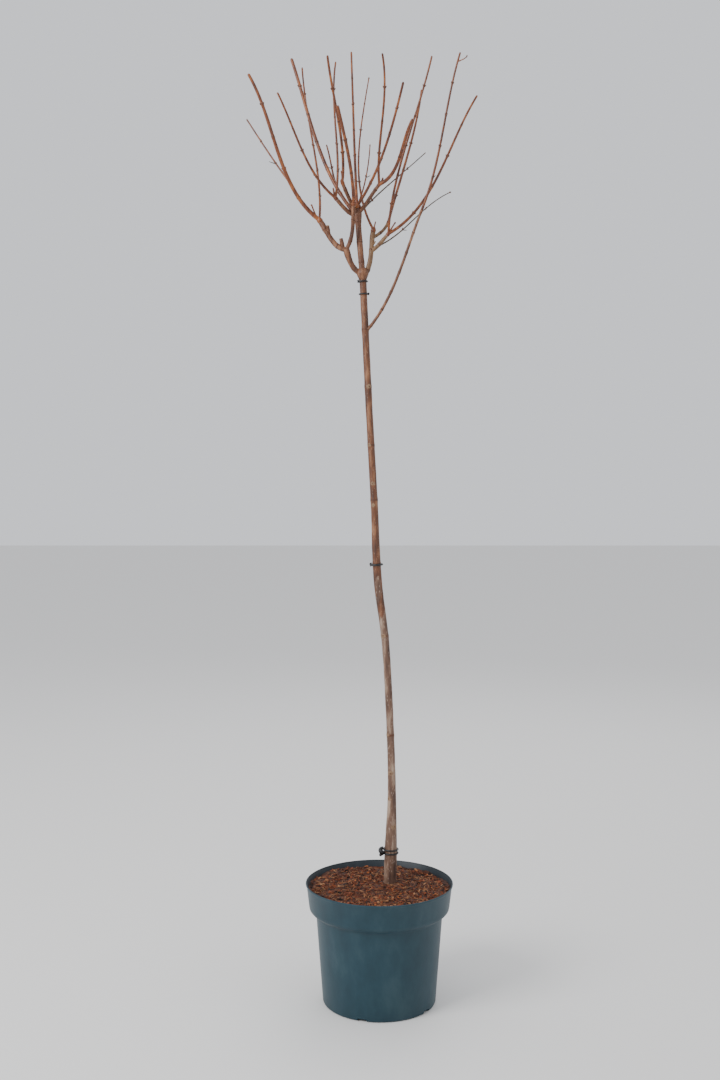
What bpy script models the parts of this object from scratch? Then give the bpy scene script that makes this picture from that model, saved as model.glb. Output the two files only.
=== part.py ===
# A bare panicle hydrangea, trained as a small standard on one stem, in a round nursery pot.
#
# Metres, +Z up. The origin is the centre of the pot's flat underside. +X runs to the right of
# the front view and +Y away from it. The plant is leafless, as it stands in winter.
#
# A limb is one smooth, tapering sweep between its foot and its tip. Its row gives the tip's
# place, how far it leans from upright at each end as the front shows it, and its girth.

import math
import random

import bmesh
import bpy
from mathutils import Matrix, Vector

# Gap left between pieces that touch on the real plant
CLEAR = 0.0003

# Pot: a thin tapered shell with a deep collar
POT_HEIGHT = 0.208
RIM_RADIUS = 0.128
COLLAR_FOOT_RADIUS = 0.1215
COLLAR_FOOT_HEIGHT = 0.1670
SHOULDER_RADIUS = 0.1100
SHOULDER_HEIGHT = 0.1560
FOOT_RADIUS = 0.0985
FOOT_EDGE = 0.0030
WALL = 0.0018
POT_SEGMENTS = 48

# Drainage notches in the edge of the pot's foot
NOTCHES = 5
NOTCH_WIDTH = 0.016
NOTCH_HEIGHT = 0.0045
NOTCH_DEPTH = 0.016

# Potting mix: it fills the pot and lies a little higher round the stem
MIX_AT_WALL = 0.1960
MIX_AT_STEM = 0.1990
MIX_ROUGHNESS = 0.0016
MIX_FLAT_RADIUS = 0.0300
MIX_RINGS = 8

# Stem: offset to the right and girth at each height, with a root flare at the foot, and its
# lean away from the front
STEM = (
    (0.199, 0.0190, 0.0225),
    (0.265, 0.0206, 0.0213),
    (0.345, 0.0221, 0.0153),
    (0.420, 0.0210, 0.0134),
    (0.530, 0.0165, 0.0129),
    (0.630, 0.0100, 0.0131),
    (0.735, -0.0030, 0.0142),
    (0.865, -0.0090, 0.0126),
    (1.030, -0.0180, 0.0121),
    (1.266, -0.0295, 0.0120),
)
STEM_BACK_AT_FOOT = 0.0220
STEM_BACK_AT_FORK = 0.0050
STEM_NODES = (0.462, 0.636, 0.761, 0.872, 0.966, 1.066, 1.163)
STEM_NODE_SWELL = 0.0009
STEM_NODE_LENGTH = 0.006
FORK_HEIGHT = 1.258
FORK_SWELL = 0.0044
FORK_LENGTH = 0.011
STEM_RING_SPACING = 0.028

# Depth of a limb: it leaves its foot more steeply than it reaches its tip
BACK_AT_FOOT = 1.35
BACK_AT_TIP = 0.65

# Boughs: foot, tip, lean from upright in degrees at foot and tip, girth at foot and tip
BOUGHS = {
    "leader": ((-0.0297, 0.0050, 1.2600), (-0.0382, 0.0050, 1.3660), (-5, -3), (0.0104, 0.0100)),
    "left_bough": ((-0.0295, 0.0050, 1.2580), (-0.0575, 0.0000, 1.2995), (-86, -14), (0.0095, 0.0090)),
    "left_outer_bough": ((-0.0570, 0.0000, 1.2970), (-0.1000, 0.0060, 1.3440), (-86, -33), (0.0092, 0.0084)),
    "left_inner_bough": ((-0.0570, 0.0000, 1.2970), (-0.0445, -0.0200, 1.3660), (35, 3), (0.0070, 0.0066)),
    "right_bough": ((-0.0295, 0.0050, 1.2500), (-0.0115, 0.0120, 1.3280), (43, 10), (0.0090, 0.0076)),
    "right_outer_bough": ((-0.0140, 0.0095, 1.2970), (0.0115, 0.0025, 1.3205), (65, 44), (0.0072, 0.0062)),
    "right_inner_bough": ((-0.0125, 0.0110, 1.3190), (0.0135, 0.0230, 1.3450), (62, 22), (0.0056, 0.0050)),
    "upper_left_bough": ((-0.0380, 0.0050, 1.3540), (-0.0720, -0.0055, 1.3790), (-80, -42), (0.0074, 0.0068)),
    "upper_front_bough": ((-0.0382, 0.0050, 1.3555), (-0.0615, -0.0290, 1.3990), (-32, -23), (0.0066, 0.0062)),
    "upper_right_bough": ((-0.0382, 0.0050, 1.3580), (-0.0040, -0.0155, 1.3990), (50, 39), (0.0064, 0.0060)),
    "low_bough": ((-0.0265, 0.0060, 1.1560), (0.0697, -0.0320, 1.3570), (44, 22), (0.0054, 0.0044)),
}
BOUGH_RING_SPACING = 0.013

# Thickening where a bough ends in a crowded head
KNUCKLE_SWELL = {"leader": 0.0022, "left_bough": 0.0012, "left_outer_bough": 0.0008, "right_bough": 0.0006}
KNUCKLE_REACH = 0.016

# The limb or limbs that each bough grows out of, and is cut clear of
BOUGH_PARENTS = {
    "leader": ("stem",),
    "left_bough": ("stem", "leader"),
    "left_outer_bough": ("left_bough",),
    "left_inner_bough": ("left_bough", "left_outer_bough"),
    "right_bough": ("stem", "leader"),
    "right_outer_bough": ("right_bough",),
    "right_inner_bough": ("right_bough", "right_outer_bough"),
    "upper_left_bough": ("leader",),
    "upper_front_bough": ("leader", "upper_left_bough"),
    "upper_right_bough": ("leader",),
    "low_bough": ("stem",),
}

# Cut-back spurs fused to a bough: foot, tip and girth
SPURS = {
    "left_outer_bough": (
        ((-0.0625, 0.0000, 1.3000), (-0.0660, -0.0010, 1.3155), 0.0070),
        ((-0.0865, 0.0035, 1.3240), (-0.0885, -0.0040, 1.3365), 0.0062),
    ),
    "right_bough": (
        ((-0.0125, 0.0100, 1.3050), (-0.0070, 0.0080, 1.3125), 0.0026),
    ),
}

# Masses that stand on a bough's tip. Shoots: tip, lean at foot and tip, girth at foot and tip
TIP_MASSES = {
    "left_outer_shoots": ("left_outer_bough", (
        ((-0.2195, -0.0300, 1.5810), (-55, -31), (0.0074, 0.0050)),
        ((-0.1380, 0.1500, 1.6490), (3, -4), (0.0044, 0.0030)),
        ((-0.1165, 0.0040, 1.3740), (-50, -25), (0.0030, 0.0024)),
    )),
    "upper_left_shoots": ("upper_left_bough", (
        ((-0.1670, -0.0950, 1.5310), (-56, -28), (0.0048, 0.0033)),
        ((-0.0757, 0.0600, 1.6300), (9, 8), (0.0045, 0.0031)),
        ((-0.0790, -0.0080, 1.3990), (-25, -12), (0.0036, 0.0028)),
    )),
    "upper_front_shoots": ("upper_front_bough", (
        ((-0.0850, -0.1400, 1.5750), (9, -7), (0.0050, 0.0038)),
        ((-0.0650, -0.0340, 1.4210), (3, -14), (0.0036, 0.0026)),
    )),
    "inner_left_shoots": ("left_inner_bough", (
        ((-0.0695, -0.1250, 1.5015), (0, -15), (0.0058, 0.0052)),
    )),
    "leader_shoots": ("leader", (
        ((-0.0490, 0.1000, 1.6600), (-3, -2), (0.0052, 0.0035)),
        ((0.0425, 0.0900, 1.6045), (31, 13), (0.0051, 0.0045)),
        ((-0.0170, -0.0500, 1.4605), (27, 3), (0.0028, 0.0018)),
    )),
    "upper_right_shoots": ("upper_right_bough", (
        ((0.0018, -0.1200, 1.5850), (-8, -12), (0.0045, 0.0033)),
        ((0.0520, -0.0900, 1.4905), (71, 31), (0.0062, 0.0050)),
        ((0.0050, -0.0150, 1.4140), (45, 10), (0.0036, 0.0032)),
    )),
    "right_outer_shoots": ("right_outer_bough", (
        ((0.0840, -0.0650, 1.5990), (2, 13), (0.0044, 0.0032)),
        ((0.1670, 0.0300, 1.5635), (60, 32), (0.0054, 0.0036)),
        ((0.0270, -0.0010, 1.3430), (35, 42), (0.0032, 0.0022)),
    )),
    "right_inner_shoots": ("right_inner_bough", (
        ((0.0750, 0.0950, 1.5930), (14, 7), (0.0049, 0.0036)),
    )),
    "right_back_shoots": ("right_bough", (
        ((-0.0173, 0.1500, 1.6320), (-26, 9), (0.0046, 0.0020)),
        ((-0.0070, 0.0080, 1.3460), (15, 12), (0.0026, 0.0022)),
    )),
    "low_shoots": ("low_bough", (
        ((0.1300, -0.0700, 1.6030), (22, 17), (0.0044, 0.0032)),
    )),
}

# Masses that leave the side of a bough: its name, the height they leave at, and their shoots
SIDE_MASSES = {
    "back_left_shoots": ("leader", 1.3530, (
        ((-0.1540, 0.0900, 1.6450), (-40, -18), (0.0066, 0.0056)),
    )),
    "upper_right_twig": ("leader", 1.3540, (
        ((0.0820, 0.0900, 1.4825), (32, 45), (0.0030, 0.0016)),
    )),
    "right_low_twig": ("right_outer_bough", 1.3035, (
        ((0.1255, 0.0650, 1.4085), (64, 65), (0.0028, 0.0016)),
    )),
}

# Side shoots: mass, which of its shoots bears them, how far along, tip, lean and girth
SIDE_SHOOTS = (
    ("left_outer_shoots", 0, 0.30, (-0.2295, 0.0500, 1.5290), (-35, -32), (0.0036, 0.0026)),
    ("back_left_shoots", 0, 0.20, (-0.0920, 0.0650, 1.4895), (-20, -16), (0.0038, 0.0026)),
    ("low_shoots", 0, 0.94, (0.1410, -0.0780, 1.5960), (70, 20), (0.0022, 0.0014)),
)

# A mass stands on a short knuckle, and its shoots fork from the middle of that
KNUCKLE_LENGTH = 0.0090
KNUCKLE_FLARE = 1.12

# Shoots bear a pair of buds at each node, and each pair stands across the pair below it
INTERNODE = 0.052
NODE_SWELL = 1.14
BUD_LENGTH = 0.0034
BUD_SPREAD = 40
BUD_SEED = 11

# Ties round the stem: height, thickness of a strand, strands, gap between them, and the knot's
# direction from the stem's middle, its width and its height
TIES = {
    "lower_tie": (0.2560, 0.0028, 2, 0.0064, 195, 0.0115, 0.0190),
    "middle_tie": (0.7600, 0.0036, 1, 0.0, 170, 0.0050, 0.0075),
    "upper_tie": (1.2230, 0.0024, 1, 0.0, 350, 0.0040, 0.0050),
    "top_tie": (1.2440, 0.0024, 1, 0.0, 200, 0.0040, 0.0060),
}
TIE_SEGMENTS = 20


def clear_scene():
    """Start from an empty file."""
    for old in list(bpy.data.objects):
        bpy.data.objects.remove(old)


def new_collection(name, parent=None):
    """Make a collection under the scene or another collection."""
    collection = bpy.data.collections.new(name)
    (parent or bpy.context.scene.collection).children.link(collection)
    return collection


def make_material(name, color, roughness):
    """Make a plain Principled material."""
    material = bpy.data.materials.new(name)
    material.use_nodes = True
    shader = material.node_tree.nodes["Principled BSDF"]
    shader.inputs["Base Color"].default_value = (*color, 1.0)
    shader.inputs["Roughness"].default_value = roughness
    shader.inputs["Metallic"].default_value = 0.0
    return material


def finish(body, name, material, sharp_angle):
    """Name a finished body, give it its material and shade it smooth."""
    body.name = name
    body.data.name = name
    body.data.materials.clear()
    body.data.materials.append(material)
    body.data.shade_smooth()
    body.data.set_sharp_from_angle(angle=math.radians(sharp_angle))
    return body


def new_object(name, mesh):
    """Place a mesh in the plant's collection."""
    body = bpy.data.objects.new(name, mesh)
    PLANT.objects.link(body)
    return body


def bake(body):
    """Turn an object with modifiers, or a curve, into a plain mesh object in its place."""
    bpy.context.view_layer.update()
    evaluated = body.evaluated_get(bpy.context.evaluated_depsgraph_get())
    mesh = bpy.data.meshes.new_from_object(evaluated)
    shape = bmesh.new()
    shape.from_mesh(mesh)
    bmesh.ops.remove_doubles(shape, verts=shape.verts, dist=0.00001)
    bmesh.ops.recalc_face_normals(shape, faces=shape.faces)
    shape.to_mesh(mesh)
    shape.free()
    plain = new_object(body.name, mesh)
    plain.matrix_world = body.matrix_world.copy()
    bpy.data.objects.remove(body)
    return plain


def fuse(body, others):
    """Join overlapping bodies into one with a Boolean union, and remove the others."""
    if not others:
        return body
    group = new_collection("fusing")
    for other in others:
        PLANT.objects.unlink(other)
        group.objects.link(other)
    union = body.modifiers.new("Union", "BOOLEAN")
    union.operation = "UNION"
    union.solver = "EXACT"
    union.operand_type = "COLLECTION"
    union.collection = group
    fused = bake(body)
    for other in list(group.objects):
        bpy.data.objects.remove(other)
    bpy.data.collections.remove(group)
    return fused


def cut(body, cutter):
    """Cut one body clear of another, and remove the cutter."""
    difference = body.modifiers.new("Cut", "BOOLEAN")
    difference.operation = "DIFFERENCE"
    difference.solver = "EXACT"
    difference.object = cutter
    trimmed = bake(body)
    bpy.data.objects.remove(cutter)
    return trimmed


def keep_largest(body):
    """Drop the loose scraps that a cut leaves behind."""
    shape = bmesh.new()
    shape.from_mesh(body.data)
    waiting = set(shape.verts)
    islands = []
    while waiting:
        island = set()
        edge = [waiting.pop()]
        while edge:
            vert = edge.pop()
            island.add(vert)
            for link in vert.link_edges:
                other = link.other_vert(vert)
                if other in waiting:
                    waiting.remove(other)
                    edge.append(other)
        islands.append(island)
    islands.sort(key=len)
    for island in islands[:-1]:
        bmesh.ops.delete(shape, geom=list(island), context="VERTS")
    shape.to_mesh(body.data)
    shape.free()
    return body


def sweep(foot, tip, lean, steps):
    """Points along a limb: a smooth curve that leaves the foot and meets the tip at its leans."""
    foot = Vector(foot)
    tip = Vector(tip)
    span = tip - foot
    back = span.y / max(span.z, 0.001)
    start = Vector((math.tan(math.radians(lean[0])), BACK_AT_FOOT * back, 1.0)).normalized() * span.length
    end = Vector((math.tan(math.radians(lean[1])), BACK_AT_TIP * back, 1.0)).normalized() * span.length
    points = []
    for step in range(steps + 1):
        t = step / steps
        points.append(
            foot * (2 * t**3 - 3 * t**2 + 1)
            + start * (t**3 - 2 * t**2 + t)
            + tip * (3 * t**2 - 2 * t**3)
            + end * (t**3 - t**2)
        )
    return points


def tube(name, points, radii, resolution):
    """A closed tapering tube along points, made from a bevelled curve."""
    curve = bpy.data.curves.new(name, "CURVE")
    curve.dimensions = "3D"
    curve.bevel_depth = 1.0
    curve.bevel_resolution = resolution
    curve.use_fill_caps = True
    spline = curve.splines.new("POLY")
    spline.points.add(len(points) - 1)
    for point, place, radius in zip(spline.points, points, radii):
        point.co = (*place, 1.0)
        point.radius = radius
    return bake(new_object(name, curve))


def bump(distance, reach):
    """One at no distance, falling smoothly to nothing at the reach."""
    return math.exp(-2.0 * (distance / reach) ** 2)


def stem_value(height, column):
    """Sway or girth of the stem at a height, on a smooth curve through its stations."""
    last = len(STEM) - 1
    index = 0
    while index < last - 1 and height > STEM[index + 1][0]:
        index += 1
    low, start = STEM[index][0], STEM[index][column]
    high, end = STEM[index + 1][0], STEM[index + 1][column]
    before = STEM[max(index - 1, 0)]
    after = STEM[min(index + 2, last)]
    slope_in = (end - before[column]) / (high - before[0])
    slope_out = (after[column] - start) / (after[0] - low)
    rise = high - low
    t = (height - low) / rise
    return (
        start * (2 * t**3 - 3 * t**2 + 1)
        + slope_in * rise * (t**3 - 2 * t**2 + t)
        + end * (3 * t**2 - 2 * t**3)
        + slope_out * rise * (t**3 - t**2)
    )


def stem_point(height):
    """Centre of the stem at a height."""
    share = (height - STEM[0][0]) / (STEM[-1][0] - STEM[0][0])
    back = STEM_BACK_AT_FOOT + (STEM_BACK_AT_FORK - STEM_BACK_AT_FOOT) * share
    return Vector((stem_value(height, 1), back, height))


def stem_radius(height):
    """Stem radius: its taper and root flare, with the swell at each node and at the fork."""
    girth = stem_value(height, 2)
    for node in STEM_NODES:
        girth += STEM_NODE_SWELL * bump(height - node, STEM_NODE_LENGTH)
    return girth / 2 + FORK_SWELL * bump(height - FORK_HEIGHT, FORK_LENGTH)


def stem_heights():
    """Heights of the stem's rings: evenly spaced, with more round each node and the fork."""
    bottom = STEM[0][0] + CLEAR
    top = STEM[-1][0]
    count = round((top - bottom) / STEM_RING_SPACING)
    heights = {round(bottom + (top - bottom) * i / count, 5) for i in range(count + 1)}
    for node in STEM_NODES:
        near = {height for height in heights if abs(height - node) < STEM_NODE_LENGTH * 1.6}
        heights -= near
        heights |= {node - STEM_NODE_LENGTH, node, node + STEM_NODE_LENGTH}
    heights |= {FORK_HEIGHT - FORK_LENGTH, FORK_HEIGHT - FORK_LENGTH / 2, FORK_HEIGHT}
    return sorted(heights)


def limb_line(name):
    """Points and radii of the stem, upright at its flat foot, or of a bough."""
    if name == "stem":
        heights = stem_heights()
        points = [stem_point(height) for height in heights]
        points[0].xy = points[1].xy
        return points, [stem_radius(height) for height in heights]
    foot, tip, lean, girth = BOUGHS[name]
    length = (Vector(tip) - Vector(foot)).length
    steps = max(4, round(length / BOUGH_RING_SPACING))
    points = sweep(foot, tip, lean, steps)
    swell = KNUCKLE_SWELL.get(name, 0.0)
    radii = []
    for step, point in enumerate(points):
        girth_here = girth[0] + (girth[1] - girth[0]) * step / steps
        from_knuckle = (Vector(tip) - point).length - KNUCKLE_REACH / 2
        radii.append(girth_here / 2 + swell * bump(from_knuckle, KNUCKLE_REACH))
    return points, radii


def limb_sides(name):
    """Bevel resolution of a limb: the stem is rounder than the boughs."""
    return 4 if name == "stem" else 2


def grown(name):
    """A copy of a limb, larger by the clearance all over, to cut its offshoots with."""
    points, radii = limb_line(name)
    start = (points[0] - points[1]).normalized()
    end = (points[-1] - points[-2]).normalized()
    points = [points[0] + start * CLEAR] + points[1:-1] + [points[-1] + end * CLEAR]
    radii = [radius + CLEAR for radius in radii]
    return tube("cutter", points, radii, limb_sides(name))


def make_limb(name, material):
    """Build the stem or a bough, with its spurs, cut clear of the limbs it grows from."""
    points, radii = limb_line(name)
    body = tube(name, points, radii, limb_sides(name))
    spurs = []
    for foot, tip, girth in SPURS.get(name, ()):
        line = [Vector(foot), (Vector(foot) + Vector(tip)) / 2, Vector(tip)]
        spurs.append(tube("spur", line, [girth / 2, girth / 2, girth * 0.42], 1))
    body = fuse(body, spurs)
    for parent in BOUGH_PARENTS.get(name, ()):
        body = cut(body, grown(parent))
    return finish(keep_largest(body), name, material, 50)


def bud(place, axis, outward, size):
    """A small pointed bud that leaves a shoot outwards and upwards."""
    lift = math.radians(BUD_SPREAD)
    direction = axis * math.cos(lift) + outward * math.sin(lift)
    shape = bmesh.new()
    bmesh.ops.create_cone(
        shape, cap_ends=True, segments=4, radius1=size * 0.42, radius2=size * 0.06, depth=size * 1.6
    )
    turn = direction.to_track_quat("Z", "Y").to_matrix().to_4x4()
    centre = place + direction * size * 0.55
    bmesh.ops.transform(shape, matrix=Matrix.Translation(centre) @ turn, verts=shape.verts)
    mesh = bpy.data.meshes.new("bud")
    shape.to_mesh(mesh)
    shape.free()
    return new_object("bud", mesh)


def make_shoot(foot, tip, lean, girth, dice):
    """One shoot with a swollen node and a pair of buds at even stages along it."""
    length = (Vector(tip) - Vector(foot)).length
    nodes = max(1, round(length / INTERNODE))
    points = sweep(foot, tip, lean, nodes * 2)
    radii = []
    for step in range(len(points)):
        radius = (girth[0] + (girth[1] - girth[0]) * step / (len(points) - 1)) / 2
        at_node = step % 2 == 0 and 0 < step < len(points) - 1
        radii.append(radius * (NODE_SWELL if at_node else 1.0))
    pieces = [tube("shoot", points, radii, 1)]
    turn = dice.uniform(0.0, math.pi)
    for step in range(2, len(points) - 1, 2):
        axis = (points[step + 1] - points[step - 1]).normalized()
        side = axis.cross(Vector((0, 1, 0))).normalized()
        turn += math.pi / 2 + dice.uniform(-0.15, 0.15)
        size = BUD_LENGTH * dice.uniform(0.85, 1.1)
        for half in (0.0, math.pi):
            outward = Matrix.Rotation(turn + half, 3, axis) @ side
            place = points[step] + outward * radii[step] * 0.75
            pieces.append(bud(place, axis, outward, size))
    return pieces, points


def make_mass(name, foot, shoots, base, material, stands_on):
    """Fuse a mass of shoots that fork from one foot, and cut it clear of the limbs it passes."""
    dice = random.Random(BUD_SEED + len(name))
    pieces = list(base)
    lines = []
    for tip, lean, girth in shoots:
        made, line = make_shoot(foot, tip, lean, girth, dice)
        pieces += made
        lines.append(line)
    for mass, bearer, share, tip, lean, girth in SIDE_SHOOTS:
        if mass == name:
            line = lines[bearer]
            place = line[round(share * (len(line) - 1))]
            made, _ = make_shoot(place, tip, lean, girth, dice)
            pieces += made
    body = fuse(pieces[0], pieces[1:])
    for limb in ("stem", *BOUGHS):
        if limb != stands_on:
            body = cut(body, grown(limb))
    return finish(keep_largest(body), name, material, 50)


def make_tip_mass(name, material):
    """A mass whose knuckle stands on the tip of its bough, the clearance away."""
    bough, shoots = TIP_MASSES[name]
    points, radii = limb_line(bough)
    along = (points[-1] - points[-2]).normalized()
    start = points[-1] + along * CLEAR
    stages = (0.0, 0.35, 0.8, 1.0)
    line = [start + along * KNUCKLE_LENGTH * stage for stage in stages]
    radius = radii[-1]
    widths = [radius, radius * KNUCKLE_FLARE, radius, radius * 0.7]
    knuckle = tube("knuckle", line, widths, 2)
    foot = start + along * KNUCKLE_LENGTH * 0.5
    return make_mass(name, foot, shoots, [knuckle], material, bough)


def make_side_mass(name, material):
    """A mass that leaves the side of its bough, and is cut clear of it."""
    bough, height, shoots = SIDE_MASSES[name]
    points, _ = limb_line(bough)
    below = max((point for point in points if point.z <= height), key=lambda point: point.z)
    above = min((point for point in points if point.z > height), key=lambda point: point.z)
    foot = below.lerp(above, (height - below.z) / (above.z - below.z))
    return make_mass(name, foot, shoots, [], material, None)


def turned(name, profile, segments):
    """A solid turned about the upright axis from a profile that runs down its outer side."""
    mesh = bpy.data.meshes.new(name)
    edges = [(i, i + 1) for i in range(len(profile) - 1)]
    mesh.from_pydata([(radius, 0.0, height) for radius, height in profile], edges, [])
    body = new_object(name, mesh)
    screw = body.modifiers.new("Screw", "SCREW")
    screw.axis = "Z"
    screw.angle = math.tau
    screw.steps = segments
    screw.render_steps = segments
    screw.use_merge_vertices = True
    screw.merge_threshold = 0.00001
    return bake(body)


def inner_wall():
    """Inner side of the pot's wall, from the floor's edge up to the rim, as radius and height."""
    return [
        (FOOT_RADIUS - WALL - FOOT_EDGE, WALL),
        (FOOT_RADIUS - WALL, WALL + FOOT_EDGE),
        (SHOULDER_RADIUS - WALL, SHOULDER_HEIGHT + WALL / 2),
        (COLLAR_FOOT_RADIUS - WALL, COLLAR_FOOT_HEIGHT + WALL / 2),
        (RIM_RADIUS - WALL, POT_HEIGHT),
    ]


def make_pot(material):
    """Turn the pot's shell and cut the drainage notches out of its foot."""
    outer = [
        (RIM_RADIUS, POT_HEIGHT),
        (RIM_RADIUS, POT_HEIGHT - WALL),
        (COLLAR_FOOT_RADIUS, COLLAR_FOOT_HEIGHT),
        (SHOULDER_RADIUS, SHOULDER_HEIGHT),
        (FOOT_RADIUS, FOOT_EDGE),
        (FOOT_RADIUS - FOOT_EDGE * 0.3, FOOT_EDGE * 0.3),
        (FOOT_RADIUS - FOOT_EDGE, 0.0),
        (0.0, 0.0),
    ]
    pot = turned("pot", [(0.0, WALL)] + inner_wall() + outer, POT_SEGMENTS)
    for index in range(NOTCHES):
        angle = math.pi + math.tau * index / NOTCHES
        shape = bmesh.new()
        bmesh.ops.create_cube(shape, size=1.0)
        bmesh.ops.scale(shape, vec=(NOTCH_DEPTH, NOTCH_WIDTH, NOTCH_HEIGHT * 2), verts=shape.verts)
        place = Matrix.Rotation(angle, 4, "Z") @ Matrix.Translation((FOOT_RADIUS, 0.0, 0.0))
        bmesh.ops.transform(shape, matrix=place, verts=shape.verts)
        mesh = bpy.data.meshes.new("notch")
        shape.to_mesh(mesh)
        shape.free()
        pot = cut(pot, new_object("notch", mesh))
    return finish(pot, "pot", material, 35)


def make_mix(material):
    """Fill the pot with potting mix, rough on top, with a flat spot under the stem."""
    wall = [(radius - CLEAR, height) for radius, height in inner_wall()]
    low, high = wall[-2], wall[-1]
    share = (MIX_AT_WALL - low[1]) / (high[1] - low[1])
    edge = (low[0] + (high[0] - low[0]) * share, MIX_AT_WALL)
    top = [(edge[0] * ring / MIX_RINGS, MIX_AT_STEM) for ring in range(MIX_RINGS)]
    side = [edge] + list(reversed(wall[:-1]))
    side[-1] = (side[-1][0], side[-1][1] + CLEAR)
    side[-2] = (side[-2][0], side[-2][1] + CLEAR)
    profile = top + side + [(0.0, WALL + CLEAR)]
    mix = turned("potting_mix", profile, POT_SEGMENTS)
    dice = random.Random(5)
    stem = stem_point(STEM[0][0])
    for vert in mix.data.vertices:
        if vert.co.z < MIX_AT_STEM - 0.0001:
            continue
        vert.co.z = MIX_AT_STEM
        from_stem = math.hypot(vert.co.x - stem.x, vert.co.y - stem.y)
        if from_stem > MIX_FLAT_RADIUS:
            fall = min(1.0, (from_stem - MIX_FLAT_RADIUS) / (edge[0] - MIX_FLAT_RADIUS))
            vert.co.z -= (MIX_AT_STEM - MIX_AT_WALL) * fall
            vert.co.z += dice.uniform(-MIX_ROUGHNESS, MIX_ROUGHNESS)
    return finish(mix, "potting_mix", material, 20)


def make_tie(name, material):
    """One or two strands round the stem, with a knot fused to their side."""
    height, thickness, strands, apart, heading, knot_width, knot_height = TIES[name]
    centre = stem_point(height)
    along = (stem_point(height + 0.005) - stem_point(height - 0.005)).normalized()
    turn = along.to_track_quat("Z", "Y").to_matrix().to_4x4()
    stem = max(stem_radius(height + apart / 2), stem_radius(height - apart / 2))
    ring = (stem + CLEAR) / math.cos(math.pi / TIE_SEGMENTS) + thickness / 2
    pieces = []
    for strand in range(strands):
        bpy.ops.mesh.primitive_torus_add(
            major_radius=ring,
            minor_radius=thickness / 2,
            major_segments=TIE_SEGMENTS,
            minor_segments=6,
        )
        loop = bpy.context.object
        bpy.context.collection.objects.unlink(loop)
        PLANT.objects.link(loop)
        shift = along * apart * (strand - (strands - 1) / 2)
        loop.data.transform(Matrix.Translation(centre + shift) @ turn)
        pieces.append(loop)
    outward = Vector((math.cos(math.radians(heading)), math.sin(math.radians(heading)), 0.0))
    shape = bmesh.new()
    bmesh.ops.create_uvsphere(shape, u_segments=10, v_segments=7, radius=0.5)
    bmesh.ops.scale(shape, vec=(knot_width, knot_width, knot_height), verts=shape.verts)
    middle = centre + outward * (ring - thickness / 2 + CLEAR + knot_width / 2)
    bmesh.ops.translate(shape, vec=middle, verts=shape.verts)
    mesh = bpy.data.meshes.new("knot")
    shape.to_mesh(mesh)
    shape.free()
    pieces.append(new_object("knot", mesh))
    return finish(fuse(pieces[0], pieces[1:]), name, material, 40)


clear_scene()
PLANT = new_collection("potted_panicle_hydrangea")

pot_plastic = make_material("pot plastic", (0.020, 0.060, 0.082), 0.45)
coir = make_material("potting mix", (0.110, 0.026, 0.010), 0.95)
old_bark = make_material("old bark", (0.120, 0.052, 0.028), 0.70)
bough_bark = make_material("bough bark", (0.110, 0.035, 0.012), 0.60)
shoot_bark = make_material("shoot bark", (0.160, 0.045, 0.014), 0.50)
tie_plastic = make_material("tie plastic", (0.008, 0.008, 0.009), 0.50)

make_pot(pot_plastic)
make_mix(coir)
make_limb("stem", old_bark)
for bough_name in BOUGHS:
    make_limb(bough_name, bough_bark)
for mass_name in TIP_MASSES:
    make_tip_mass(mass_name, shoot_bark)
for mass_name in SIDE_MASSES:
    make_side_mass(mass_name, shoot_bark)
for tie_name in TIES:
    make_tie(tie_name, tie_plastic)
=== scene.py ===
# %% [markdown]
# A bare panicle hydrangea, grown as a small standard in a nursery pot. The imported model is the
# fixed frame, and most pieces below take the place of one of its nodes. Everything is in metres,
# with the origin under the middle of the pot.

# %% Load the frame
import math
import random

import bpy
from mathutils import Euler, Matrix, Vector, noise


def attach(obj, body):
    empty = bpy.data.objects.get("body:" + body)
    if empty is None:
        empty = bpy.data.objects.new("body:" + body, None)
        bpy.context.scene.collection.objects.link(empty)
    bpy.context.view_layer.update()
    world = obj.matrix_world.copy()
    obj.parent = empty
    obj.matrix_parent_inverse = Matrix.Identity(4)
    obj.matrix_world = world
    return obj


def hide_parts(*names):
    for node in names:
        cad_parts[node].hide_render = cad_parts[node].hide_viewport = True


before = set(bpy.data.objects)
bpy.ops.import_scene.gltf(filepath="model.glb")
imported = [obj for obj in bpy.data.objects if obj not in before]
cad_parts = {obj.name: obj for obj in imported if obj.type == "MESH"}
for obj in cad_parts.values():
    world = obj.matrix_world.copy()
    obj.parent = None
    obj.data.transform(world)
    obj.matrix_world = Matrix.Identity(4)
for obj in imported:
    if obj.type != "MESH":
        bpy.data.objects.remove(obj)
bpy.ops.object.select_all(action="DESELECT")
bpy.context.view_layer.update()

# %% [markdown]
# The view. The camera stands about two metres in front of the plant and a little under a metre
# above the floor, and is tilted down by less than three degrees. Its lens is worked out from
# the picture's height and a focal length, both in pixels.

# %% Camera
PICTURE_HEIGHT = 1080
FOCAL_PIXELS = 1259
SENSOR = 36.0
CAMERA_PLACE = (-0.0336, -2.160, 0.908)
CAMERA_DIP = 2.78

camera_turn = (math.radians(90 - CAMERA_DIP), 0, 0)
bpy.ops.object.camera_add(location=CAMERA_PLACE, rotation=camera_turn)
camera = bpy.context.object
camera.name = "camera"
camera.data.sensor_width = SENSOR
camera.data.lens = SENSOR * FOCAL_PIXELS / PICTURE_HEIGHT
bpy.context.scene.camera = camera
print("lens", round(camera.data.lens, 2), "mm")

# %% [markdown]
# Light and floor. The plant stood in soft daylight that came from the left and the front, so a
# large area lamp stands there, a weaker one fills the right, one lights the back, and a pale
# world lights the rest. Large lamps are chosen because they give soft edges to the shadows.

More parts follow.
